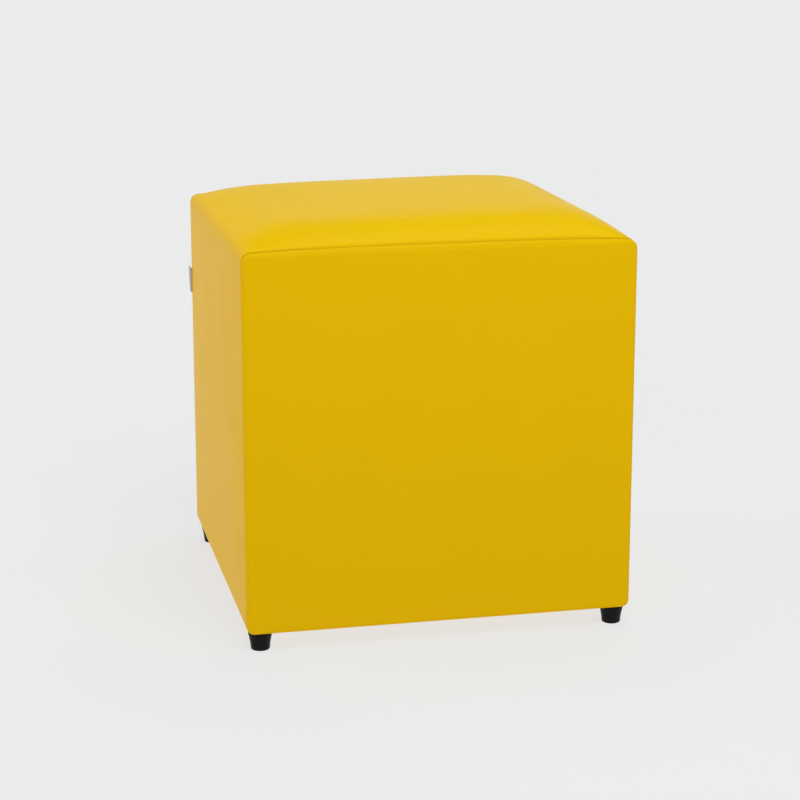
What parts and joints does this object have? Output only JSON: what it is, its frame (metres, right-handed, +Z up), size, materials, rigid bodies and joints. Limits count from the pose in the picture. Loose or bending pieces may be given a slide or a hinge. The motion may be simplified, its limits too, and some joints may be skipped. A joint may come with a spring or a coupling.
{
  "type": "cube pouf stool",
  "caption": "Cube pouf stool with a crowned padded top, sunk seams along two panels and small conical feet.",
  "frame": {"origin": "middle of the whole footprint, label included, on the floor under the feet", "axes": "+Z up; -Y is the way the front panel faces; +X to the right of someone facing the front panel"},
  "size_m": [0.406, 0.412, 0.4281],
  "materials": {
    "cover": "smooth yellow coated cloth, satin",
    "feet": "moulded black, satin",
    "label": "woven ribbon, matt"
  },
  "bodies": {
    "root": {"cover_strip": "cover", "front_panel": "cover", "back_panel": "cover", "foot_front_left": "feet", "foot_front_right": "feet", "foot_back_left": "feet", "foot_back_right": "feet", "side_label": "label"}
  },
  "joints": []
}
